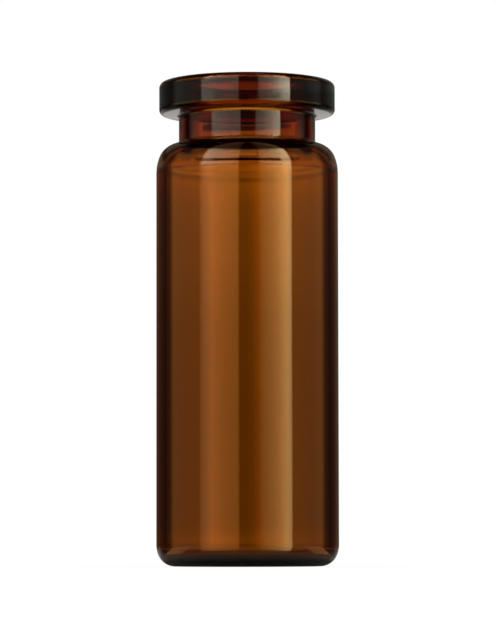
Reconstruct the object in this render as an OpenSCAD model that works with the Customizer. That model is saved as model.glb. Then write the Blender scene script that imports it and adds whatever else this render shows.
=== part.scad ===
// Tubular glass vial with a crimp flange, drawn from glass tube in one piece.
// Millimetres. The foot stands on z = 0 and +Z runs up the axis to the mouth.

/* [Tube] */
// Outside diameter of the tube
body_d = 20.5; // [19:0.1:28]
// Overall height from the foot to the top of the flange
height = 54.55; // [40:0.05:80]
// Glass wall of the tube
wall = 1.1; // [0.8:0.05:1.5]

/* [Base] */
// Outside radius of the heel where it meets the foot
heel_r = 2; // [1.2:0.1:2.6]
// Longer radius that blends the heel into the tube
heel_blend_r = 3.4; // [2.8:0.1:6]
// Angle that the heel blend turns through
heel_blend_turn = 20; // [8:1:40]
// Width of the flat foot ring that the vial stands on
foot_w = 0.9; // [0.4:0.1:2]
// Rise of the hollow under the base
punt_rise = 0.5; // [0.2:0.05:0.8]
// Radius that rounds the inner edge of the foot ring
punt_edge_r = 1.5; // [0.5:0.1:3]
// Glass thickness of the base over the foot ring
base_t = 1.4; // [1:0.05:2.5]
// Inside radius between the floor and the wall
floor_edge_r = 0.8; // [0.6:0.1:2.5]
// Rise of the floor at the centre
floor_rise = 0.4; // [0.2:0.05:1]

/* [Shoulder] */
// Outside radius of the shoulder's crown
shoulder_r = 2.3; // [1.5:0.05:3]
// Longer radius that blends the shoulder into the tube
shoulder_blend_r = 5; // [3.5:0.1:7]
// Angle that the shoulder blend turns through
shoulder_blend_turn = 21.5; // [8:0.5:35]
// Inside radius of the shoulder
shoulder_inner_r = 1.85; // [1:0.05:2.6]
// Glass thickness of the shoulder beside the neck
shoulder_t = 1.15; // [0.9:0.05:2]

/* [Neck] */
// Outside diameter of the neck
neck_d = 15.4; // [15:0.1:17]
// Height of the neck between the shoulder's crown and the flange
neck_h = 3.25; // [2:0.05:8]
// Outside radius where the neck meets the shoulder
neck_fillet_r = 0.3; // [0.2:0.05:0.8]
// Diameter of the straight mouth bore
bore_d = 12.6; // [11.6:0.1:13]
// Radius where the bore opens into the shoulder
throat_r = 0.9; // [0.3:0.1:1.2]

/* [Flange] */
// Outside diameter of the crimp flange
flange_d = 19.85; // [18.5:0.05:20.2]
// Height of the crimp flange at its rim
flange_h = 3.65; // [2.8:0.05:4.4]
// Slope of the flange's underside, up from the neck to the rim
flange_slope = 3; // [0:0.5:8]
// Radius of the flange's upper edge
flange_top_r = 0.65; // [0.3:0.05:1]
// Radius of the flange's lower edge
flange_bottom_r = 0.6; // [0.1:0.05:0.8]
// Radius between the flange's underside and the neck
flange_fillet_r = 0.3; // [0.2:0.05:0.8]
// Radius of the mouth's lip
lip_r = 0.95; // [0.2:0.05:1.1]

/* [Hidden] */
$fn = 180;
AMBER = [0.42, 0.19, 0.05, 0.75];
// Widest angle between two points of a round stretch of the section
arc_step = 7.5;

body_r = body_d / 2;
inner_r = body_r - wall;
bore_r = bore_d / 2;
neck_r = neck_d / 2;
flange_r = flange_d / 2;
// Outer edge of the foot ring, where the heel starts
foot_r = body_r - heel_blend_r + (heel_blend_r - heel_r) * cos(heel_blend_turn);

// Levels up the axis: rim of the flange's underside, its root at the neck, top of the shoulder, roof inside
flange_z = height - flange_h;
seat_z = flange_z - (flange_r - neck_r) * tan(flange_slope);
crown_z = seat_z - neck_h;
roof_z = crown_z - shoulder_t;

// The two inside radii at the roof are limited by its width between the wall and the bore
roof_w = inner_r - bore_r;
roof_edge_fit = min(shoulder_inner_r, roof_w * 0.65);
throat_fit = min(throat_r, roof_w * 0.33);

function polar(c, r, angle) = [c.x + r * cos(angle), c.y + r * sin(angle)];

// Points along an arc; skip = 1 leaves out the first, where the arc before has already ended
function arc(c, r, from, to, skip = 0) =
    let (steps = ceil(abs(to - from) / arc_step))
    [for (i = [skip : steps]) polar(c, r, from + (to - from) * i / steps)];

// A long arc on the axis that is tangent to an edge of radius r, which starts from the ring of radius a
function dome_r(a, r, rise) = (a * a + rise * rise) / (2 * rise) - r;
function dome_turn(a, r, rise) = asin(a / (dome_r(a, r, rise) + r));

// Foot and the hollow under the base, from the axis out to the flat ring
function base_path(a, r, rise) =
    let (big = dome_r(a, r, rise), turn = dome_turn(a, r, rise))
    concat(
        [for (i = [0 : 4]) polar([0, rise - big], big, 90 - turn * i / 4)],
        arc([a, r], r, -90 - turn, -90, skip = 1)
    );

// Heel, from the foot up to the tube: the heel's own arc, then the longer one
function heel_path() =
    let (
        step = heel_blend_r - heel_r,
        blend_c = [body_r - heel_blend_r, heel_r + step * sin(heel_blend_turn)],
        heel_c = [foot_r, heel_r]
    )
    concat(
        arc(heel_c, heel_r, -90, -heel_blend_turn),
        arc(blend_c, heel_blend_r, -heel_blend_turn, 0, skip = 1)
    );

// Shoulder, from the tube over the crown and round the fillet into the neck
function shoulder_path() =
    let (
        step = shoulder_blend_r - shoulder_r,
        crown_x = body_r - shoulder_blend_r + step * cos(shoulder_blend_turn),
        crown_c = [crown_x, crown_z - shoulder_r],
        blend_c = [body_r - shoulder_blend_r, crown_c.y - step * sin(shoulder_blend_turn)],
        fillet_x = neck_r + neck_fillet_r,
        run = max(0, fillet_x - crown_x),
        lift = sqrt(pow(shoulder_r + neck_fillet_r, 2) - run * run),
        crown_end = atan2(lift, run),
        fillet_c = [fillet_x, crown_c.y + lift]
    )
    concat(
        arc(blend_c, shoulder_blend_r, 0, shoulder_blend_turn),
        arc(crown_c, shoulder_r, shoulder_blend_turn, crown_end, skip = 1),
        arc(fillet_c, neck_fillet_r, crown_end + 180, 180, skip = run > 0 ? 1 : 0)
    );

// Crimp flange, from the neck out under the flange, over its rim and in to the mouth
function flange_path() =
    let (
        slant = 1 / cos(flange_slope) - tan(flange_slope),
        fillet_c = [neck_r + flange_fillet_r, seat_z - flange_fillet_r * slant],
        lower_c = [flange_r - flange_bottom_r, flange_z + flange_bottom_r * slant],
        upper_c = [flange_r - flange_top_r, height - flange_top_r]
    )
    concat(
        arc(fillet_c, flange_fillet_r, 180, 90 + flange_slope),
        arc(lower_c, flange_bottom_r, flange_slope - 90, 0),
        arc(upper_c, flange_top_r, 0, 90)
    );

// Mouth, from the top over the lip, down the straight bore and round the throat
function mouth_path() = concat(
    arc([bore_r + lip_r, height - lip_r], lip_r, 90, 180),
    arc([bore_r + throat_fit, roof_z + throat_fit], throat_fit, 180, 270)
);

// Chamber, from the roof down the wall and in over the raised floor to the axis
function chamber_path() =
    let (
        floor_x = inner_r - floor_edge_r,
        big = dome_r(floor_x, floor_edge_r, floor_rise),
        turn = dome_turn(floor_x, floor_edge_r, floor_rise)
    )
    concat(
        arc([inner_r - roof_edge_fit, roof_z - roof_edge_fit], roof_edge_fit, 90, 0),
        arc([floor_x, base_t + floor_edge_r], floor_edge_r, 0, -90 - turn),
        [for (i = [1 : 4]) polar([0, base_t + floor_rise - big], big, 90 - turn + turn * i / 4)]
    );

// The whole vial is one piece of glass: its section turned about the axis
module vial() {
    color(AMBER)
        rotate_extrude()
            polygon(concat(
                base_path(foot_r - foot_w, punt_edge_r, punt_rise),
                heel_path(),
                shoulder_path(),
                flange_path(),
                mouth_path(),
                chamber_path()
            ));
}

vial();
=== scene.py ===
"""Looks of an amber glass sample vial: the glass, the surface it stands on, its light and its camera.

Everything is in metres in the part's own frame: the foot stands on z = 0 and +Z runs up to the mouth.
"""

import logging
import math
from dataclasses import dataclass, field
from enum import Enum
from typing import Any, Mapping, Optional, Sequence, Union

import bpy
from mathutils import Matrix, Vector


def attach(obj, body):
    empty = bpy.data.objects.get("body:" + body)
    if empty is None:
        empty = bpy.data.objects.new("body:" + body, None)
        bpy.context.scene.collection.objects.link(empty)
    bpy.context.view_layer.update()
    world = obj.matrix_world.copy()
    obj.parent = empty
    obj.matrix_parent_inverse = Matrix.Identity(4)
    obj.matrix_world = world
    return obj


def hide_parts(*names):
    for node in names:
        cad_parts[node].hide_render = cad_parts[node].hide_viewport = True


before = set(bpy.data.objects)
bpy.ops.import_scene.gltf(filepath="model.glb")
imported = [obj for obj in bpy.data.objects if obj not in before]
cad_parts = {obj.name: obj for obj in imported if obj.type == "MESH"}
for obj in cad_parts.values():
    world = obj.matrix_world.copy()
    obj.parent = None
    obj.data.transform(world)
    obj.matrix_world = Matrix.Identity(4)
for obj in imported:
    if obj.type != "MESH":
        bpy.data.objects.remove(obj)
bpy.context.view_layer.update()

LOG = logging.getLogger("vial")
MM = 0.001
# A degree, as a share of half a turn
DEGREE = 1.0 / 180.0
WHITE = (1.0, 1.0, 1.0)

Point = tuple[float, float]
Span = tuple[float, float]
Colour = tuple[float, float, float]
Operand = Union["Socket", float]
Stops = tuple[tuple[float, Colour], ...]
Heights = tuple[tuple[float, float], ...]


class Socket:
    """A node's output that takes part in arithmetic: each operator adds the Math node that it needs."""

    def __init__(self, graph: "Graph", output: bpy.types.NodeSocket) -> None:
        """Keeps the graph and the output.

        Args:
            graph: the node graph that the output belongs to.
            output: the output socket.
        """
        self.graph = graph
        self.output = output

    def _math(self, operation: str, first: Operand, second: Operand) -> "Socket":
        """Adds a Math node.

        Args:
            operation: the Math node's operation.
            first: its first operand.
            second: its second operand.

        Returns:
            The node's value.
        """
        node = self.graph.node("ShaderNodeMath", {"operation": operation}, {0: first, 1: second})
        return node["Value"]

    def __add__(self, other: Operand) -> "Socket":
        """self + other."""
        return self._math("ADD", self, other)

    def __radd__(self, other: Operand) -> "Socket":
        """other + self."""
        return self._math("ADD", other, self)

    def __sub__(self, other: Operand) -> "Socket":
        """self - other."""
        return self._math("SUBTRACT", self, other)

    def __rsub__(self, other: Operand) -> "Socket":
        """other - self."""
        return self._math("SUBTRACT", other, self)

    def __mul__(self, other: Operand) -> "Socket":
        """self * other."""
        return self._math("MULTIPLY", self, other)

    def __rmul__(self, other: Operand) -> "Socket":
        """other * self."""
        return self._math("MULTIPLY", other, self)

    def __truediv__(self, other: Operand) -> "Socket":
        """self / other."""
        return self._math("DIVIDE", self, other)

    def __rtruediv__(self, other: Operand) -> "Socket":
        """other / self."""
        return self._math("DIVIDE", other, self)

    def __abs__(self) -> "Socket":
        """abs(self)."""
        return self._math("ABSOLUTE", self, 0.0)

    def step(self, edge: float) -> "Socket":
        """1 where self is above the edge, and 0 elsewhere."""
        return self._math("GREATER_THAN", self, edge)

    def rise(self, low: float, high: float, bottom: float = 0.0, top: float = 1.0) -> "Socket":
        """Goes smoothly from one value to another as self goes from low to high.

        Args:
            low: where the rise starts.
            high: where it ends.
            bottom: the value at and below low.
            top: the value at and above high.

        Returns:
            The smooth value.
        """
        node = self.graph.node(
            "ShaderNodeMapRange",
            {"interpolation_type": "SMOOTHSTEP"},
            {"Value": self, "From Min": low, "From Max": high, "To Min": bottom, "To Max": top},
        )
        return node["Result"]


class Node:
    """A node that has been added to a graph."""

    def __init__(self, graph: "Graph", node: bpy.types.Node) -> None:
        """Keeps the graph and the node.

        Args:
            graph: the node graph that the node belongs to.
            node: the node.
        """
        self.graph = graph
        self.node = node

    def __getitem__(self, name: Union[str, int]) -> Socket:
        """One of the node's outputs, by name or number."""
        return Socket(self.graph, self.node.outputs[name])


class Graph:
    """The node graph of one material or world, empty at the start."""

    def __init__(self, owner: Union[bpy.types.Material, bpy.types.World]) -> None:
        """Clears the owner's node tree and keeps it.

        Args:
            owner: the material or the world.
        """
        owner.use_nodes = True
        self.tree = owner.node_tree
        self.tree.nodes.clear()

    def node(
        self,
        kind: str,
        settings: Optional[Mapping[str, Any]] = None,
        inputs: Optional[Mapping[Union[str, int], Any]] = None,
    ) -> Node:
        """Adds a node.

        Args:
            kind: the node's type.
            settings: its settings, which are set first; "stops" are a ramp's positions and colours.
            inputs: a value or a link for each input, by its name or number.

        Returns:
            The node.
        """
        node = self.tree.nodes.new(kind)
        for name, value in (settings or {}).items():
            if name == "stops":
                self._set_stops(node.color_ramp, value)
            else:
                setattr(node, name, value)
        for name, value in (inputs or {}).items():
            if isinstance(value, Socket):
                self.tree.links.new(value.output, node.inputs[name])
            else:
                node.inputs[name].default_value = value
        return Node(self, node)

    @staticmethod
    def _set_stops(ramp: bpy.types.ColorRamp, stops: Sequence[tuple[float, Colour]]) -> None:
        """Gives a ramp its stops.

        Args:
            ramp: the ramp, which has two stops at the start.
            stops: a position and a colour for each, in rising order.
        """
        while len(ramp.elements) < len(stops):
            ramp.elements.new(1.0)
        for element, (position, colour) in zip(ramp.elements, stops):
            element.position = position
            element.color = (*colour, 1.0)

    def mix(self, factor: Union[Socket, float], a: Any, b: Any) -> Socket:
        """Mixes two colours.

        Args:
            factor: 0 for the first, 1 for the second.
            a: the first colour or a link to it.
            b: the second colour or a link to it.

        Returns:
            The mixed colour.
        """
        node = self.node("ShaderNodeMix", {"data_type": "RGBA"}, {0: factor, 6: a, 7: b})
        return node[2]

    def add(self, a: Any, b: Any) -> Socket:
        """Adds two colours or vectors."""
        return self.node("ShaderNodeVectorMath", {"operation": "ADD"}, {0: a, 1: b})["Vector"]

    def scale(self, colour: Any, by: Union[Socket, float]) -> Socket:
        """Multiplies a colour or a vector by a number."""
        node = self.node("ShaderNodeVectorMath", {"operation": "SCALE"}, {0: colour, "Scale": by})
        return node["Vector"]


@dataclass(frozen=True)
class Band:
    """A stretch of values with soft edges, open on a side that has no edge."""

    opens: Optional[Span] = None
    closes: Optional[Span] = None
    unit: float = 1.0
    # What is left beyond the closing edge
    left: float = 0.0

    def inside(self, value: Socket) -> Socket:
        """How far a value lies in the stretch.

        Args:
            value: the value.

        Returns:
            1 inside and 0 outside, or what is left there, and smooth between.
        """
        edges = []
        if self.opens:
            edges.append(value.rise(self.opens[0] * self.unit, self.opens[1] * self.unit))
        if self.closes:
            edges.append(value.rise(self.closes[0] * self.unit, self.closes[1] * self.unit, 1.0, self.left))
        return math.prod(edges[1:], start=edges[0])


@dataclass(frozen=True)
class Patch:
    """A part that is brighter or darker than what lies round it, by two measures of its place."""

    first: Band
    second: Band
    change: float = 1.0

    def added(self, first: Socket, second: Socket) -> Socket:
        """The change, by the two measures, and 0 outside the patch."""
        return self.first.inside(first) * self.second.inside(second) * self.change

    def factor(self, first: Socket, second: Socket) -> Socket:
        """What the light is multiplied by, and 1 outside the patch."""
        return 1.0 + self.added(first, second)


@dataclass(frozen=True)
class Grain:
    """Noise in the glass: what each coordinate is multiplied by, waves a metre, and finer layers."""

    stretch: Colour
    scale: float
    detail: float

    def noise(self, graph: Graph, place: Socket) -> Socket:
        """Adds the noise.

        Args:
            graph: the material's graph.
            place: object coordinates.

        Returns:
            The noise, about 0.5 on average.
        """
        stretched = graph.node("ShaderNodeVectorMath", {"operation": "MULTIPLY"}, {0: place, 1: self.stretch})["Vector"]
        inputs = {"Vector": stretched, "Scale": self.scale, "Detail": self.detail}
        return graph.node("ShaderNodeTexNoise", {}, inputs)["Fac"]


@dataclass(frozen=True)
class AmberGlass:
    """Clear amber tube glass, coloured through its thickness and slightly uneven as drawn glass is."""

    name: str = "amber_glass"
    ior: float = 1.5
    # Share of red, green and blue that the glass lets through, over the depth below
    tint: Colour = (0.33, 0.075, 0.0025)
    tint_depth: float = 2.2 * MM
    strongest: float = 3200.0
    # The faint uneven film on handled glass, and the roughness where it has been touched
    film: Colour = (0.975, 0.965, 0.95)
    film_grain: Grain = Grain((1.0, 1.0, 0.35), 260.0, 3.0)
    film_edge: Span = (0.35, 0.7)
    touched: float = 0.03
    touch_grain: Grain = Grain((1.0, 1.0, 0.6), 420.0, 4.0)
    touch_edge: Span = (0.45, 0.75)
    # Draw lines along the tube, which fade above its shoulder, and rings round the neck where it was tooled
    line_grain: Grain = Grain((1.0, 1.0, 0.04), 330.0, 2.0)
    ring_grain: Grain = Grain((0.12, 0.12, 1.0), 700.0, 2.0)
    tooled: Band = Band((44.5, 47.5), None, MM)
    line_fade: float = 0.85
    ring_share: float = 0.03
    relief: float = 0.05 * MM
    relief_strength: float = 0.12

    def material(self) -> bpy.types.Material:
        """Builds the material.

        Returns:
            The glass, with its colour in the volume.
        """
        material = bpy.data.materials.new(self.name)
        graph = Graph(material)
        place = graph.node("ShaderNodeTexCoord")["Object"]
        surface = graph.node(
            "ShaderNodeBsdfPrincipled",
            {},
            {
                "Base Color": self._film(graph, place),
                "Roughness": self._smudges(graph, place),
                "IOR": self.ior,
                "Transmission Weight": 1.0,
                "Normal": self._unevenness(graph, place),
            },
        )
        taken = [-math.log(share) / self.tint_depth for share in self.tint]
        volume = graph.node(
            "ShaderNodeVolumeAbsorption",
            {},
            {
                "Color": (*[1.0 - each / self.strongest for each in taken], 1.0),
                "Density": self.strongest,
            },
        )
        graph.node("ShaderNodeOutputMaterial", {}, {"Surface": surface["BSDF"], "Volume": volume["Volume"]})
        return material

    def _film(self, graph: Graph, place: Socket) -> Socket:
        """The surface's colour, white with the faint film."""
        film = self.film_grain.noise(graph, place).rise(*self.film_edge)
        return graph.mix(film, (*WHITE, 1.0), (*self.film, 1.0))

    def _smudges(self, graph: Graph, place: Socket) -> Socket:
        """The roughness, a trace higher where the glass has been touched."""
        return self.touch_grain.noise(graph, place).rise(*self.touch_edge, 0.0, self.touched)

    def _unevenness(self, graph: Graph, place: Socket) -> Socket:
        """The bumps of the draw lines and the tooled rings.

        Args:
            graph: the material's graph.
            place: object coordinates.

        Returns:
            The surface's normal.
        """
        height = graph.node("ShaderNodeSeparateXYZ", {}, {0: place})["Z"]
        tooled = self.tooled.inside(height)
        lines = self.line_grain.noise(graph, place) * (1.0 - tooled * self.line_fade)
        rings = self.ring_grain.noise(graph, place) * tooled * self.ring_share
        inputs = {"Strength": self.relief_strength, "Distance": self.relief, "Height": lines + rings}
        return graph.node("ShaderNodeBump", {}, inputs)["Normal"]


@dataclass
class Vial:
    """The vial: one piece of tube glass, turned from its half section. Sizes are in millimetres."""

    name: str = "vial_glass"
    around: int = 280
    # Widest angle of an arc's step, longest step on a straight, and how close its first steps lie to a curve
    arc_step: float = 4.0
    line_step: float = 1.4
    ease: float = 0.3
    # Points that are closer than this are one
    same: float = 0.01
    body_d: float = 20.5
    height: float = 54.55
    wall: float = 1.1
    heel_r: float = 2.0
    heel_blend_r: float = 3.4
    heel_blend_turn: float = 20.0
    foot_w: float = 0.9
    punt_rise: float = 0.5
    punt_edge_r: float = 1.5
    base_t: float = 1.4
    floor_edge_r: float = 0.8
    floor_rise: float = 0.4
    shoulder_r: float = 2.3
    shoulder_blend_r: float = 5.0
    shoulder_blend_turn: float = 21.5
    shoulder_inner_r: float = 1.85
    shoulder_t: float = 1.15
    neck_d: float = 15.4
    neck_h: float = 3.25
    neck_fillet_r: float = 0.3
    bore_d: float = 12.6
    throat_r: float = 0.9
    flange_d: float = 19.85
    flange_h: float = 3.65
    flange_slope: float = 3.0
    flange_top_r: float = 0.65
    flange_bottom_r: float = 0.6
    flange_fillet_r: float = 0.3
    lip_r: float = 0.95
    path: list[Point] = field(default_factory=list)

    def build(self, glass: bpy.types.Material) -> bpy.types.Object:
        """Builds the piece and puts it on the frame.

        Args:
            glass: the glass that it is made of.

        Returns:
            The finished object.
        """
        self._draw_section()
        piece = self._turn()
        piece.data.materials.append(glass)
        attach(piece, "root")
        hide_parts("vial")
        LOG.info("%s: %d section points, %d faces", piece.name, len(self.path), len(piece.data.polygons))
        return piece

    def _line_to(self, x: float, z: float) -> None:
        """Runs the section straight to a point, with closer points beside the curves at both ends.

        Args:
            x: distance from the axis.
            z: height.
        """
        x0, z0 = self.path[-1]
        length = math.hypot(x - x0, z - z0)
        ease = min(self.ease, length / 4)
        count = max(0, math.ceil((length - 2 * ease) / self.line_step))
        middle = [ease + (length - 2 * ease) * i / count for i in range(count + 1)] if count else []
        for along in sorted({ease / 4, *middle, length - ease / 4, length}):
            share = along / length
            self.path.append((x0 + (x - x0) * share, z0 + (z - z0) * share))

    def _arc(self, x: float, z: float, r: float, start: float, end: float) -> None:
        """Runs the section straight to an arc's start, then along the arc.

        Args:
            x: the arc centre's distance from the axis.
            z: the arc centre's height.
            r: its radius.
            start: the angle where it starts, in degrees.
            end: the angle where it ends.
        """
        steps = max(1, math.ceil(abs(end - start) / self.arc_step))
        points = []
        for i in range(steps + 1):
            angle = math.radians(start + (end - start) * i / steps)
            points.append((x + r * math.cos(angle), z + r * math.sin(angle)))
        gap = math.dist(self.path[-1], points[0]) if self.path else 0.0
        if gap > self.same:
            self._line_to(*points[0])
        self.path += points if not self.path else points[1:]

    def _dome(self, base: float, edge_x: float, edge_r: float, rise: float) -> tuple[float, float, float]:
        """A long arc centred on the axis that is tangent to a rounded edge.

        Args:
            base: height of the edge's lowest point.
            edge_x: distance of the edge's centre from the axis.
            edge_r: the edge's radius.
            rise: how far the dome stands above the base.

        Returns:
            The dome's centre height, its radius and the angle that it turns through.
        """
        radius = (edge_x**2 + rise**2) / (2 * rise) - edge_r
        turn = math.degrees(math.asin(edge_x / (radius + edge_r)))
        return base + rise - radius, radius, turn

    def _draw_section(self) -> None:
        """Draws the half section, from the axis under the base round to the axis on the floor inside."""
        body = self.body_d / 2
        inner = body - self.wall
        bore = self.bore_d / 2
        neck = self.neck_d / 2
        flange = self.flange_d / 2
        slope = math.radians(self.flange_slope)
        seat = self.height - self.flange_h - (flange - neck) * math.tan(slope)
        crown = seat - self.neck_h
        self._draw_base(body)
        self._draw_shoulder(body, neck, crown)
        self._draw_flange(bore, neck, flange, seat)
        self._draw_inside(inner, bore, crown - self.shoulder_t)

    def _draw_base(self, body: float) -> None:
        """Draws the hollow under the base, the foot ring and the heel.

        Args:
            body: the tube's outside radius.
        """
        heel_turn = math.radians(self.heel_blend_turn)
        step = self.heel_blend_r - self.heel_r
        foot = body - self.heel_blend_r + step * math.cos(heel_turn)
        ring = foot - self.foot_w
        centre, radius, turn = self._dome(0.0, ring, self.punt_edge_r, self.punt_rise)
        self._arc(0.0, centre, radius, 90.0, 90.0 - turn)
        self._fan_out(ring)
        self._arc(ring, self.punt_edge_r, self.punt_edge_r, -90.0 - turn, -90.0)
        self._arc(foot, self.heel_r, self.heel_r, -90.0, -self.heel_blend_turn)
        blend_z = self.heel_r + step * math.sin(heel_turn)
        self._arc(body - self.heel_blend_r, blend_z, self.heel_blend_r, -self.heel_blend_turn, 0.0)

    def _fan_out(self, reach: float) -> None:
        """Puts even rings on the shallow dome that was drawn last, which its few degrees would leave coarse.

        Args:
            reach: how far out the dome runs.
        """
        top, (x, z) = self.path[0][1], self.path[-1]
        count = max(3, math.ceil(reach / self.line_step))
        self.path = [(x * i / count, top - (top - z) * (i / count) ** 2) for i in range(count)] + [(x, z)]

    def _draw_shoulder(self, body: float, neck: float, crown: float) -> None:
        """Draws the tube's wall, the shoulder and the fillet into the neck.

        Args:
            body: the tube's outside radius.
            neck: the neck's outside radius.
            crown: the height of the shoulder's top.
        """
        turn = math.radians(self.shoulder_blend_turn)
        step = self.shoulder_blend_r - self.shoulder_r
        crown_x = body - self.shoulder_blend_r + step * math.cos(turn)
        crown_z = crown - self.shoulder_r
        blend_z = crown_z - step * math.sin(turn)
        fillet_x = neck + self.neck_fillet_r
        run = fillet_x - crown_x
        lift = math.sqrt((self.shoulder_r + self.neck_fillet_r) ** 2 - run**2)
        end = math.degrees(math.atan2(lift, run))
        self._arc(body - self.shoulder_blend_r, blend_z, self.shoulder_blend_r, 0.0, self.shoulder_blend_turn)
        self._arc(crown_x, crown_z, self.shoulder_r, self.shoulder_blend_turn, end)
        self._arc(fillet_x, crown_z + lift, self.neck_fillet_r, end + 180.0, 180.0)

    def _draw_flange(self, bore: float, neck: float, flange: float, seat: float) -> None:
        """Draws the neck, the crimp flange and the lip of the mouth.

        Args:
            bore: the bore's radius.
            neck: the neck's outside radius.
            flange: the flange's outside radius.
            seat: the height of the flange's underside at the neck.
        """
        slope = math.radians(self.flange_slope)
        slant = 1 / math.cos(slope) - math.tan(slope)
        fillet_r, bottom_r, top_r = self.flange_fillet_r, self.flange_bottom_r, self.flange_top_r
        rim = self.height - self.flange_h
        self._arc(neck + fillet_r, seat - fillet_r * slant, fillet_r, 180.0, 90.0 + self.flange_slope)
        self._arc(flange - bottom_r, rim + bottom_r * slant, bottom_r, self.flange_slope - 90.0, 0.0)
        self._arc(flange - top_r, self.height - top_r, top_r, 0.0, 90.0)
        self._arc(bore + self.lip_r, self.height - self.lip_r, self.lip_r, 90.0, 180.0)

    def _draw_inside(self, inner: float, bore: float, roof: float) -> None:
        """Draws the bore, the roof, the wall inside and the floor.

        Args:
            inner: the chamber's radius.
            bore: the bore's radius.
            roof: the height of the roof inside.
        """
        throat = min(self.throat_r, (inner - bore) * 0.33)
        edge = min(self.shoulder_inner_r, (inner - bore) * 0.65)
        self._arc(bore + throat, roof + throat, throat, 180.0, 270.0)
        self._arc(inner - edge, roof - edge, edge, 90.0, 0.0)
        floor_x = inner - self.floor_edge_r
        centre, radius, turn = self._dome(self.base_t, floor_x, self.floor_edge_r, self.floor_rise)
        self._arc(floor_x, self.base_t + self.floor_edge_r, self.floor_edge_r, 0.0, -90.0 - turn)
        count = math.ceil(floor_x / self.line_step)
        x0, z0 = self.path[-1]
        top = centre + radius
        for i in range(1, count + 1):
            share = 1 - i / count
            self.path.append((x0 * share, top - (top - z0) * share**2))

    def _turn(self) -> bpy.types.Object:
        """Turns the section about the axis into one closed mesh.

        Returns:
            The object, smooth shaded.
        """
        ring_path = self.path[1:-1]
        vertices = [(0.0, 0.0, self.path[0][1] * MM)]
        for x, z in ring_path:
            for i in range(self.around):
                angle = math.tau * i / self.around
                vertices.append((x * MM * math.cos(angle), x * MM * math.sin(angle), z * MM))
        vertices.append((0.0, 0.0, self.path[-1][1] * MM))
        last = len(vertices) - 1
        faces: list[tuple[int, ...]] = []
        for i in range(self.around):
            j = (i + 1) % self.around
            faces.append((0, 1 + j, 1 + i))
            for k in range(len(ring_path) - 1):
                low, high = 1 + k * self.around, 1 + (k + 1) * self.around
                faces.append((low + i, low + j, high + j, high + i))
            end = 1 + (len(ring_path) - 1) * self.around
            faces.append((end + i, end + j, last))
        mesh = bpy.data.meshes.new(self.name)
        mesh.from_pydata(vertices, [], faces)
        mesh.validate()
        mesh.shade_smooth()
        piece = bpy.data.objects.new(self.name, mesh)
        bpy.context.scene.collection.objects.link(piece)
        return piece


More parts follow.
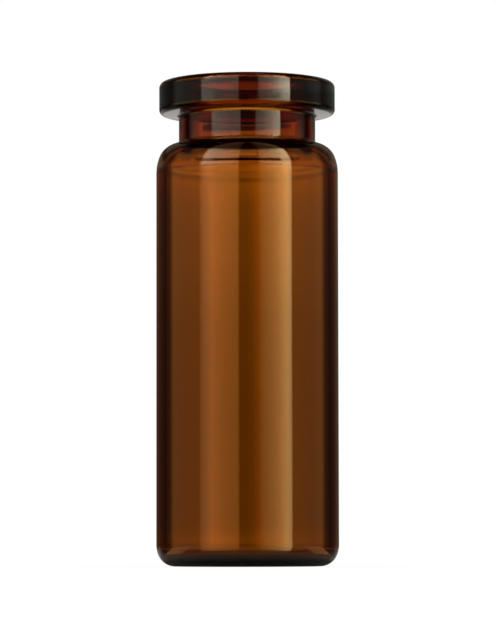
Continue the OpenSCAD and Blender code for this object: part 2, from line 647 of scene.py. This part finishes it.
@dataclass(frozen=True)
class PaleFloor:
    """The plain pale surface that the vial stands on."""

    name: str = "pale_floor"
    half: float = 0.6
    below: float = 0.02 * MM
    shade: float = 0.13
    # How bright the camera sees it where nothing shades it
    open_level: float = 1.01
    # Painted light and shade that only clear glass sees on the surface, beside its own shade: painted shade under the
    # heel, and painted light beside the vial and well away from it, and at which distances from the axis
    under_heel: float = 0.14
    beside: float = 0.35
    well_away: float = 0.40
    heel_band: Band = Band((7.5, 8.8), (9.6, 10.6), MM)
    beside_band: Band = Band((10.0, 30.0), None, MM)
    away_band: Band = Band((60.0, 400.0), None, MM)
    # Well to both sides, by the share of the distance that lies across, that painted light is darker, and painted warm
    # light furthest round
    dim: Patch = Patch(Band((0.40, 0.62)), Band((60.0, 200.0), None, MM), -0.7)
    flanks: Colour = (0.80, 0.42, 0.12)
    flank: Patch = Patch(Band((0.75, 0.95)), Band((30.0, 60.0), None, MM))
    # Painted reflection of the sides near the vial, which only the heel's reflection shows, in front of the vial
    sides: Colour = (1.1, 0.42, 0.09)
    sideways: Patch = Patch(Band((0.80, 0.90)), Band(None, (-2.0, 0.0), MM))
    sides_band: Band = Band((11.5, 13.5), (26.0, 38.0), MM)
    # Where the heel starts to reflect the open studio instead, and where the painted reflection of the sides keeps that
    # off
    open_band: Band = Band((11.5, 14.5), None, MM)
    kept_band: Band = Band(None, (30.0, 42.0), MM)
    # Painted amber light round the vial's own foot, dark right under it, by the distance from the axis, which only the
    # heel's reflection shows
    ring_end: float = 16.0 * MM
    ring_front: Band = Band(None, (-8.0, -1.0), MM, 0.4)
    ring: Stops = (
        (0.0, (0.01, 0.01, 0.01)),
        (9.6 * MM, (0.03, 0.03, 0.02)),
        (10.1 * MM, (0.14, 0.11, 0.07)),
        (10.8 * MM, (0.45, 0.23, 0.14)),
        (12.0 * MM, (0.38, 0.22, 0.14)),
        (14.5 * MM, (0.10, 0.08, 0.06)),
    )

    def build(self) -> bpy.types.Object:
        """Builds the floor.

        Returns:
            The floor.
        """
        corners = [(x * self.half, y * self.half, -self.below) for x, y in ((-1, -1), (1, -1), (1, 1), (-1, 1))]
        mesh = bpy.data.meshes.new(self.name)
        mesh.from_pydata(corners, [], [(0, 1, 2, 3)])
        mesh.materials.append(self._material())
        floor = bpy.data.objects.new(self.name, mesh)
        bpy.context.scene.collection.objects.link(floor)
        LOG.info("%s: %.1f m across", floor.name, 2 * self.half)
        return floor

    def _material(self) -> bpy.types.Material:
        """Builds a matt pale surface that the camera sees as white where nothing shades it, with painted light and
        shade that only the glass shows.

        Returns:
            The material.
        """
        material = bpy.data.materials.new(self.name)
        graph = Graph(material)
        ray = graph.node("ShaderNodeLightPath")
        through = ray["Is Transmission Ray"]
        mirrored = ray["Is Glossy Ray"] - through
        place = graph.node("ShaderNodeTexCoord")["Object"]
        parts = graph.node("ShaderNodeSeparateXYZ", {}, {0: place})
        distance = graph.node("ShaderNodeVectorMath", {"operation": "LENGTH"}, {0: place})["Value"]
        aside = abs(parts["X"]) / distance
        sideways = self.sideways.added(aside, parts["Y"])
        seen = graph.scale(WHITE, ray["Is Camera Ray"] * (self.open_level - self.shade))
        # Painted light and shade that only rays through the glass see
        clear = graph.scale(self._painted_glass_light(graph, distance, aside), through)
        # Painted amber light round the foot, seen only in the glass's reflections
        stops = [(at / self.ring_end, colour) for at, colour in self.ring]
        ring = graph.node("ShaderNodeValToRGB", {"stops": stops}, {"Fac": distance / self.ring_end})["Color"]
        painted_foot_light = graph.scale(ring, mirrored * self.ring_front.inside(parts["Y"]))
        # Painted reflection of warm sides, seen only in the glass's reflections
        painted_side_reflection = graph.scale(self.sides, mirrored * sideways * self.sides_band.inside(distance))
        light = graph.add(graph.add(seen, clear), graph.add(painted_foot_light, painted_side_reflection))
        matt = graph.node("ShaderNodeBsdfDiffuse", {}, {"Color": (self.shade, self.shade, self.shade, 1.0)})
        glow = graph.node("ShaderNodeEmission", {}, {"Color": light, "Strength": 1.0})
        surface = graph.node("ShaderNodeAddShader", {}, {0: matt["BSDF"], 1: glow["Emission"]})["Shader"]
        # Further out, the glass reflects the studio's own light from below instead of this surface
        open_air = graph.node("ShaderNodeBsdfTransparent")["BSDF"]
        far = mirrored * self.open_band.inside(distance) * (1.0 - sideways * self.kept_band.inside(distance))
        both = graph.node("ShaderNodeMixShader", {}, {0: far, 1: surface, 2: open_air})
        graph.node("ShaderNodeOutputMaterial", {}, {"Surface": both["Shader"]})
        return material

    def _painted_glass_light(self, graph: Graph, distance: Socket, aside: Socket) -> Socket:
        """Painted light and shade that clear glass shows on the surface, over its own shade.

        Args:
            graph: the material's graph.
            distance: the distance from the axis.
            aside: the share of it that lies across.

        Returns:
            The light.
        """
        pale = (
            self.heel_band.inside(distance) * self.under_heel
            + self.beside_band.inside(distance) * self.beside
            + self.away_band.inside(distance) * (self.well_away - self.beside)
        )
        pale *= self.dim.factor(aside, distance)
        return graph.mix(self.flank.added(aside, distance), graph.scale(WHITE, pale), (*self.flanks, 1.0))


class Side(Enum):
    """The side of the vial, from the camera."""

    LEFT = "left"
    RIGHT = "right"


@dataclass(frozen=True)
class Sweep:
    """Light all round the vial at one height.

    Each stop is the angle round from straight behind the vial, in degrees, and the light there.
    """

    left: Stops
    right: Stops

    def light(self, graph: Graph, turn: Socket, on_right: Socket) -> Socket:
        """The light in each direction.

        Args:
            graph: the world's graph.
            turn: the angle from straight behind, as a share of half a turn.
            on_right: 1 to the right of the vial, and 0 to its left.

        Returns:
            The light.
        """
        sides = {
            side: graph.node(
                "ShaderNodeValToRGB",
                {"stops": [(angle * DEGREE, colour) for angle, colour in stops]},
                {"Fac": turn},
            )["Color"]
            for side, stops in ((Side.LEFT, self.left), (Side.RIGHT, self.right))
        }
        return graph.mix(on_right, sides[Side.LEFT], sides[Side.RIGHT])


@dataclass(frozen=True)
class StudioLight:
    """Light round the vial: even white for matt surfaces, and what clear glass shows of the studio."""

    # Seen through the glass: a narrow pale backdrop between dark flags, and soft boxes on the camera's side
    through: Sweep = Sweep(
        left=(
            (0.0, (0.30, 0.29, 0.27)),
            (3.0, (0.28, 0.28, 0.27)),
            (5.0, (0.27, 0.27, 0.26)),
            (8.0, (0.25, 0.24, 0.23)),
            (12.0, (0.30, 0.29, 0.27)),
            (14.5, (0.34, 0.34, 0.30)),
            (17.5, (0.16, 0.15, 0.13)),
            (30.0, (0.13, 0.11, 0.09)),
            (42.0, (0.03, 0.03, 0.025)),
            (64.0, (0.05, 0.04, 0.03)),
            (74.0, (0.75, 0.42, 0.14)),
            (117.0, (0.85, 0.42, 0.10)),
            (119.5, (2.3, 0.92, 0.28)),
            (130.0, (2.9, 1.5, 0.45)),
            (140.0, (2.4, 1.3, 0.32)),
            (156.0, (2.1, 1.0, 0.22)),
            (168.0, (1.7, 0.9, 0.18)),
            (170.0, (0.08, 0.08, 0.005)),
            (180.0, (0.1, 0.09, 0.005)),
        ),
        right=(
            (0.0, (0.30, 0.29, 0.27)),
            (3.0, (0.29, 0.28, 0.27)),
            (5.0, (0.25, 0.25, 0.24)),
            (8.5, (0.21, 0.20, 0.19)),
            (12.0, (0.30, 0.29, 0.27)),
            (14.5, (0.34, 0.34, 0.30)),
            (17.5, (0.16, 0.15, 0.13)),
            (30.0, (0.12, 0.10, 0.08)),
            (42.0, (0.03, 0.03, 0.025)),
            (64.0, (0.05, 0.04, 0.03)),
            (74.0, (0.80, 0.44, 0.15)),
            (121.5, (0.90, 0.44, 0.10)),
            (123.0, (5.9, 3.7, 1.3)),
            (128.0, (5.9, 4.1, 1.45)),
            (140.0, (3.6, 2.35, 0.65)),
            (150.0, (2.5, 1.5, 0.42)),
            (162.0, (1.6, 0.85, 0.15)),
            (166.0, (1.0, 0.35, 0.02)),
            (180.0, (0.15, 0.10, 0.005)),
        ),
    )
    # Reflected in the tube's wall, low down
    low: Sweep = Sweep(
        left=(
            (0.0, (0.10, 0.07, 0.04)),
            (42.0, (0.03, 0.025, 0.02)),
            (64.0, (0.05, 0.04, 0.03)),
            (74.0, (0.75, 0.42, 0.13)),
            (117.0, (0.85, 0.42, 0.10)),
            (119.5, (2.3, 0.92, 0.28)),
            (130.0, (2.9, 1.5, 0.45)),
            (140.0, (2.4, 1.3, 0.32)),
            (156.0, (2.1, 1.0, 0.22)),
            (168.0, (1.7, 0.9, 0.18)),
            (170.0, (0.08, 0.08, 0.005)),
            (180.0, (0.1, 0.09, 0.005)),
        ),
        right=(
            (0.0, (0.15, 0.12, 0.08)),
            (25.0, (0.12, 0.09, 0.05)),
            (42.0, (0.03, 0.03, 0.025)),
            (64.0, (0.05, 0.04, 0.03)),
            (74.0, (0.80, 0.44, 0.13)),
            (121.5, (0.90, 0.44, 0.10)),
            (123.0, (5.9, 3.7, 1.3)),
            (128.0, (5.9, 4.1, 1.45)),
            (140.0, (3.6, 2.35, 0.65)),
            (150.0, (2.5, 1.5, 0.42)),
            (162.0, (1.6, 0.85, 0.15)),
            (166.0, (1.0, 0.35, 0.02)),
            (180.0, (0.15, 0.10, 0.005)),
        ),
    )
    # Reflected in the neck and the flange, higher up
    high: Sweep = Sweep(
        left=(
            (0.0, (0.12, 0.12, 0.11)),
            (64.0, (0.05, 0.05, 0.05)),
            (73.0, (0.22, 0.22, 0.20)),
            (76.0, (0.30, 0.30, 0.25)),
            (117.0, (0.25, 0.24, 0.20)),
            (119.5, (1.7, 1.6, 1.3)),
            (130.0, (1.6, 1.5, 1.2)),
            (150.0, (1.1, 1.0, 0.85)),
            (168.0, (1.0, 0.95, 0.80)),
            (170.0, (0.05, 0.05, 0.05)),
            (180.0, (0.05, 0.05, 0.05)),
        ),
        right=(
            (0.0, (0.12, 0.12, 0.11)),
            (41.0, (0.10, 0.105, 0.085)),
            (64.0, (0.06, 0.06, 0.05)),
            (72.0, (0.18, 0.18, 0.17)),
            (80.0, (0.20, 0.20, 0.18)),
            (98.0, (0.13, 0.13, 0.11)),
            (121.5, (0.13, 0.13, 0.11)),
            (123.0, (5.3, 5.0, 3.7)),
            (130.0, (4.5, 4.2, 3.1)),
            (140.0, (2.6, 2.4, 1.8)),
            (155.0, (1.2, 1.1, 0.90)),
            (164.0, (0.90, 0.80, 0.60)),
            (167.0, (0.05, 0.05, 0.05)),
            (180.0, (0.05, 0.05, 0.05)),
        ),
    )
    # Reflected in the shoulder, higher still
    crown: Sweep = Sweep(
        left=(
            (0.0, (0.12, 0.12, 0.11)),
            (22.0, (0.22, 0.16, 0.11)),
            (36.0, (0.25, 0.15, 0.09)),
            (44.0, (0.12, 0.08, 0.06)),
            (64.0, (0.05, 0.05, 0.05)),
            (76.0, (0.09, 0.08, 0.06)),
            (117.0, (0.12, 0.09, 0.06)),
            (119.5, (5.0, 2.6, 1.1)),
            (122.0, (8.0, 4.7, 2.6)),
            (127.0, (6.0, 4.0, 2.6)),
            (140.0, (5.4, 3.3, 1.8)),
            (152.0, (5.2, 2.6, 1.15)),
            (167.0, (4.2, 1.9, 0.70)),
            (170.0, (0.08, 0.07, 0.03)),
            (180.0, (0.08, 0.07, 0.03)),
        ),
        right=(
            (0.0, (0.12, 0.12, 0.11)),
            (22.0, (0.25, 0.18, 0.13)),
            (36.0, (0.26, 0.15, 0.09)),
            (44.0, (0.14, 0.09, 0.06)),
            (64.0, (0.05, 0.05, 0.05)),
            (76.0, (0.09, 0.08, 0.06)),
            (117.0, (0.12, 0.09, 0.06)),
            (121.0, (1.6, 0.40, 0.07)),
            (123.0, (10.2, 7.0, 3.5)),
            (129.0, (10.0, 7.2, 3.6)),
            (140.0, (6.4, 4.3, 2.0)),
            (150.0, (4.9, 2.8, 1.1)),
            (162.0, (3.8, 1.8, 0.60)),
            (166.0, (0.5, 0.25, 0.05)),
            (180.0, (0.08, 0.07, 0.03)),
        ),
    )
    # Reflected in the heel and under the flange: a dark bench with the backdrop's pale foot behind it
    below: Sweep = Sweep(
        left=(
            (0.0, (0.76, 0.74, 0.72)),
            (5.0, (0.66, 0.62, 0.61)),
            (11.0, (0.46, 0.42, 0.41)),
            (24.0, (0.27, 0.25, 0.24)),
            (40.0, (0.10, 0.09, 0.08)),
            (117.0, (0.08, 0.08, 0.075)),
            (119.5, (1.8, 0.75, 0.25)),
            (130.0, (2.2, 1.1, 0.35)),
            (140.0, (1.7, 0.90, 0.22)),
            (156.0, (1.4, 0.70, 0.15)),
            (168.0, (1.2, 0.60, 0.12)),
            (170.0, (0.06, 0.06, 0.05)),
            (180.0, (0.06, 0.06, 0.05)),
        ),
        right=(
            (0.0, (0.76, 0.74, 0.72)),
            (5.0, (0.66, 0.63, 0.61)),
            (11.0, (0.36, 0.35, 0.33)),
            (23.0, (0.20, 0.19, 0.18)),
            (36.0, (0.09, 0.09, 0.08)),
            (121.5, (0.08, 0.08, 0.075)),
            (123.0, (4.4, 3.0, 1.1)),
            (128.0, (4.4, 3.2, 1.2)),
            (140.0, (2.4, 1.9, 0.55)),
            (150.0, (1.8, 1.2, 0.35)),
            (162.0, (1.3, 0.70, 0.12)),
            (166.0, (0.50, 0.20, 0.03)),
            (180.0, (0.06, 0.06, 0.05)),
        ),
    )
    # How the light changes with the height of its direction, seen through the glass and reflected low down
    through_heights: Heights = (
        (0.0, 1.24), (0.003, 0.93), (0.006, 0.89), (0.040, 0.90), (0.0637, 0.96), (0.073, 1.06), (0.081, 1.17),
        (0.089, 1.22), (0.0978, 1.37), (0.1046, 2.1), (0.108, 2.6), (0.112, 2.7), (0.1165, 3.1), (0.1276, 3.1),
        (0.1284, 2.0), (0.145, 1.9), (0.165, 2.1), (0.182, 1.6), (0.200, 1.6), (0.225, 2.2), (0.250, 2.5),
    )
    low_heights: Heights = (
        (0.0, 0.88), (0.004, 0.90), (0.035, 0.93), (0.055, 1.0), (0.0637, 1.02), (0.0755, 1.14), (0.087, 1.22),
        (0.093, 1.26), (0.0988, 1.32), (0.1046, 1.31), (0.1068, 1.34), (0.1080, 1.50), (0.1090, 2.0), (0.120, 2.1),
    )
    # Heights where the light that glass reflects changes from low to high, to the crown's and to the bench below,
    # which starts further down beside the vial than behind it
    high_from: Band = Band((0.108, 0.120))
    crown_from: Band = Band((0.142, 0.162))
    bench_to: Band = Band((-0.28, -0.20))
    bench_behind: Band = Band(None, (30.0, 48.0), DEGREE)
    bench_drop: float = 0.18
    # Where the light ends overhead, seen through the glass and reflected
    ceiling: Band = Band(None, (0.80, 0.90), left=0.05)
    crown_end: Band = Band(None, (0.655, 0.742), left=0.08)
    # A dark card behind the neck. Vertical parts of the direction: its lower edge, how much that rises to the right
    # over half a turn, how far up it is wide, and its upper edge. Then its half widths in degrees there and above,
    # how soft its edges are in height and in degrees, and the light that it leaves.
    card_low: float = 0.1190
    card_lift: float = 0.0198
    card_step: float = 0.1208
    card_high: float = 0.1281
    card_wide: float = 12.5
    card_narrow: float = 8.5
    card_edge: float = 0.0004
    card_side: float = 0.4
    card_light: float = 0.08
    # Parts of the studio by the angle round and the height, seen through the glass: a brighter one beside the
    # middle at the flange's height, the backdrop's darker upper corners, and at the neck's height a darker part on
    # the camera's side and a post on each side
    window: Patch = Patch(Band((1.5, 3.2), (9.0, 12.0), DEGREE), Band((0.1286, 0.1294), (0.140, 0.150)), 1.1)
    corner: Patch = Patch(Band((11.0, 17.0), (29.0, 36.0), DEGREE), Band((0.30, 0.40), (0.50, 0.58)), -0.6)
    front: Patch = Patch(Band((90.0, 110.0), None, DEGREE), Band((0.1075, 0.1185)), -0.82)
    post: Patch = Patch(Band((31.0, 35.0), (40.0, 46.0), DEGREE), Band((0.1150, 0.1170), (0.1248, 0.1260)), -0.7)
    # The same for what glass reflects: a second post on each side, the bench's darker sides, a darker part of the
    # soft boxes at the flange's lower edge, and how much brighter the right one is at its rim
    side_post: Patch = Patch(Band((44.0, 50.0), (62.0, 68.0), DEGREE), Band((0.1150, 0.1170), (0.1248, 0.1260)), -0.85)
    bench_side: Patch = Patch(Band((50.0, 70.0), None, DEGREE), Band(None, (-0.42, -0.30)), -0.8)
    waist: Patch = Patch(Band((133.0, 140.0), None, DEGREE), Band((0.1272, 0.1284), (0.1300, 0.1310)), -0.3)
    rim: Patch = Patch(
        Band(None, (138.0, 152.0), DEGREE, 0.2), Band((0.1290, 0.1316), (0.1328, 0.1342), left=0.25), 0.65
    )
    # The dark bar between the soft boxes' lower and upper panes: its height, the part that the near edge covers,
    # and how dark it is there on the left and by how much less on the right, and elsewhere
    bar: Band = Band((0.235, 0.280), (0.340, 0.385))
    bar_near: Band = Band(None, (133.0, 138.0), DEGREE)
    bar_near_depth: float = 0.62
    bar_right: float = 0.42
    bar_depth: float = 0.92
    # The warm walls, which the shoulder reflects: on both sides, further round higher up, and behind the camera
    glow: Colour = (1.2, 0.42, 0.07)
    glow_beside: Band = Band((62.0, 77.0), (117.0, 119.0), DEGREE)
    glow_round: Band = Band((86.0, 100.0), None, DEGREE)
    glow_round_share: float = 0.9
    glow_behind: Patch = Patch(Band((164.0, 169.0), None, DEGREE), Band((0.42, 0.54)), 2.2)
    glow_high: Band = Band((0.42, 0.54))
    glow_end: Band = Band(None, (0.64, 0.74))
    # A cool lamp high behind the vial, which the fillet under the flange shows
    lamp: Colour = (0.15, 0.50, 0.90)
    lamp_place: Patch = Patch(Band(None, (25.0, 40.0), DEGREE), Band((0.37, 0.40), (0.46, 0.50)))

    def build(self) -> bpy.types.World:
        """Builds the world and puts it in the scene.

        Returns:
            The world.
        """
        world = bpy.data.worlds.new("studio_light")
        graph = Graph(world)
        path = graph.node("ShaderNodeLightPath")
        through, reflected = self._studio(graph)
        outside = graph.mix(path["Is Glossy Ray"], (*WHITE, 1.0), reflected)
        light = graph.mix(path["Is Transmission Ray"], outside, through)
        background = graph.node("ShaderNodeBackground", {}, {"Color": light, "Strength": 1.0})
        graph.node("ShaderNodeOutputWorld", {}, {"Surface": background["Background"]})
        bpy.context.scene.world = world
        LOG.info("%s: light set", world.name)
        return world

    def _studio(self, graph: Graph) -> tuple[Socket, Socket]:
        """What clear glass shows of the studio, by direction.

        Args:
            graph: the world's graph.

        Returns:
            The light that the glass lets through, and the light that it reflects.
        """
        direction = graph.node("ShaderNodeTexCoord")["Generated"]
        parts = graph.node("ShaderNodeSeparateXYZ", {}, {0: direction})
        across, away, up = parts["X"], parts["Y"], parts["Z"]
        turn = graph.node("ShaderNodeMath", {"operation": "ARCTAN2"}, {0: abs(across), 1: away})["Value"] / math.pi
        on_right = across.step(0.0)
        return self._let_through(graph, turn, up, on_right), self._reflected(graph, turn, up, on_right)

    def _let_through(self, graph: Graph, turn: Socket, up: Socket, on_right: Socket) -> Socket:
        """The light that the glass lets through.

        Args:
            graph: the world's graph.
            turn: the angle from straight behind, as a share of half a turn.
            up: the direction's vertical part.
            on_right: 1 to the right of the vial, and 0 to its left.

        Returns:
            The light.
        """
        by_height = self._by_height(graph, up, self.through_heights)
        through = graph.scale(self.through.light(graph, turn, on_right), by_height)
        shades = self.ceiling.inside(up) * self._card(turn, up, on_right)
        for patch in (self.window, self.corner, self.front, self.post):
            shades *= patch.factor(turn, up)
        lamp = graph.scale(self.lamp, self.lamp_place.added(turn, up))
        return graph.add(graph.scale(through, shades), lamp)

    def _reflected(self, graph: Graph, turn: Socket, up: Socket, on_right: Socket) -> Socket:
        """The light that the glass reflects.

        Args:
            graph: the world's graph.
            turn: the angle from straight behind, as a share of half a turn.
            up: the direction's vertical part.
            on_right: 1 to the right of the vial, and 0 to its left.

        Returns:
            The light.
        """
        low = graph.scale(self.low.light(graph, turn, on_right), self._by_height(graph, up, self.low_heights))
        boxes = self.waist.factor(turn, up) + self.rim.added(turn, up) * on_right
        high = graph.scale(self.high.light(graph, turn, on_right), boxes)
        panes = self.crown_end.inside(up) * self._bar(turn, up, on_right)
        crown = graph.scale(self.crown.light(graph, turn, on_right), panes)
        crown = graph.add(crown, graph.scale(self.glow, self._glow(turn, up)))
        below = graph.scale(self.below.light(graph, turn, on_right), self.bench_side.factor(turn, up))
        walls = graph.scale(graph.mix(self.high_from.inside(up), low, high), self.side_post.factor(turn, up))
        above = graph.mix(self.crown_from.inside(up), walls, crown)
        level = up - self.bench_behind.inside(turn) * self.bench_drop
        return graph.mix(self.bench_to.inside(level), below, above)

    def _bar(self, turn: Socket, up: Socket, on_right: Socket) -> Socket:
        """The dark bar between the soft boxes' lower and upper panes, which the right one's near edge covers.

        Args:
            turn: the angle from straight behind, as a share of half a turn.
            up: the direction's vertical part.
            on_right: 1 to the right of the vial, and 0 to its left.

        Returns:
            A factor, 1 beside the bar.
        """
        near = self.bar_near.inside(turn)
        depth = (1.0 - near) * self.bar_depth + near * (self.bar_near_depth - on_right * self.bar_right)
        return 1.0 - self.bar.inside(up) * depth

    def _glow(self, turn: Socket, up: Socket) -> Socket:
        """The warm walls on both sides and behind the camera, which the shoulder reflects.

        Args:
            turn: the angle from straight behind, as a share of half a turn.
            up: the direction's vertical part.

        Returns:
            A factor, 0 away from the walls.
        """
        high = self.glow_high.inside(up)
        walls = 1.0 - high + high * self.glow_round.inside(turn) * self.glow_round_share
        beside = self.glow_beside.inside(turn) * walls
        return (beside + self.glow_behind.added(turn, up)) * self.glow_end.inside(up)

    def _card(self, turn: Socket, up: Socket, on_right: Socket) -> Socket:
        """The dark card behind the neck, wider at its lower edge, which rises to the right.

        Args:
            turn: the angle from straight behind, as a share of half a turn.
            up: the direction's vertical part.
            on_right: 1 to the right of the vial, and 0 to its left.

        Returns:
            A factor, 1 beside the card.
        """
        edge = self.card_edge
        low_edge = on_right * turn * self.card_lift + self.card_low
        inside = (up - low_edge).rise(-edge, 0.0) * up.rise(self.card_high - edge, self.card_high, 1.0, 0.0)
        wide, narrow = self.card_wide * DEGREE, self.card_narrow * DEGREE
        width = up.rise(self.card_step - edge, self.card_step + edge, wide, narrow)
        behind = ((width - turn) / DEGREE).rise(-self.card_side, self.card_side)
        return 1.0 - inside * behind * (1.0 - self.card_light)

    def _by_height(self, graph: Graph, up: Socket, heights: Heights) -> Socket:
        """How the light changes with the height of its direction.

        Args:
            graph: the world's graph.
            up: the direction's vertical part.
            heights: the factor for each vertical part, in rising order.

        Returns:
            The factor, as a grey colour.
        """
        top = heights[-1][0]
        grey = [(height / top, (value, value, value)) for height, value in heights]
        return graph.node("ShaderNodeValToRGB", {"stops": grey}, {"Fac": up / top})["Color"]


@dataclass(frozen=True)
class StudioCamera:
    """A long lens almost level with the surface, which looks up at the vial a little."""

    lens: float = 191.9
    sensor: float = 36.0
    distance: float = 383.56 * MM
    across: float = 0.073 * MM
    height: float = 3.18 * MM
    pitch: float = 3.654
    roll: float = 0.093
    clip: Span = (0.01, 100.0)

    def build(self) -> bpy.types.Object:
        """Builds the camera and makes it the scene's.

        Returns:
            The camera.
        """
        data = bpy.data.cameras.new("studio_camera")
        data.sensor_fit = "VERTICAL"
        data.sensor_height = self.sensor
        data.lens = self.lens
        data.clip_start, data.clip_end = self.clip
        camera = bpy.data.objects.new("studio_camera", data)
        bpy.context.scene.collection.objects.link(camera)
        place = Matrix.Translation(Vector((self.across, -self.distance, self.height)))
        tilt = Matrix.Rotation(math.radians(90.0 + self.pitch), 4, "X")
        lean = Matrix.Rotation(math.radians(-self.roll), 4, "Z")
        camera.matrix_world = place @ tilt @ lean
        bpy.context.scene.camera = camera
        LOG.info("%s: %.1f mm lens, %.0f mm away", camera.name, self.lens, self.distance / MM)
        return camera


def main() -> None:
    """Builds the vial, what it stands on, its light and its camera."""
    logging.basicConfig(level=logging.INFO, format="%(name)s %(message)s")
    bpy.context.scene.view_settings.view_transform = "Standard"
    Vial().build(AmberGlass().material())
    PaleFloor().build()
    StudioLight().build()
    StudioCamera().build()


if __name__ == "__main__":
    main()
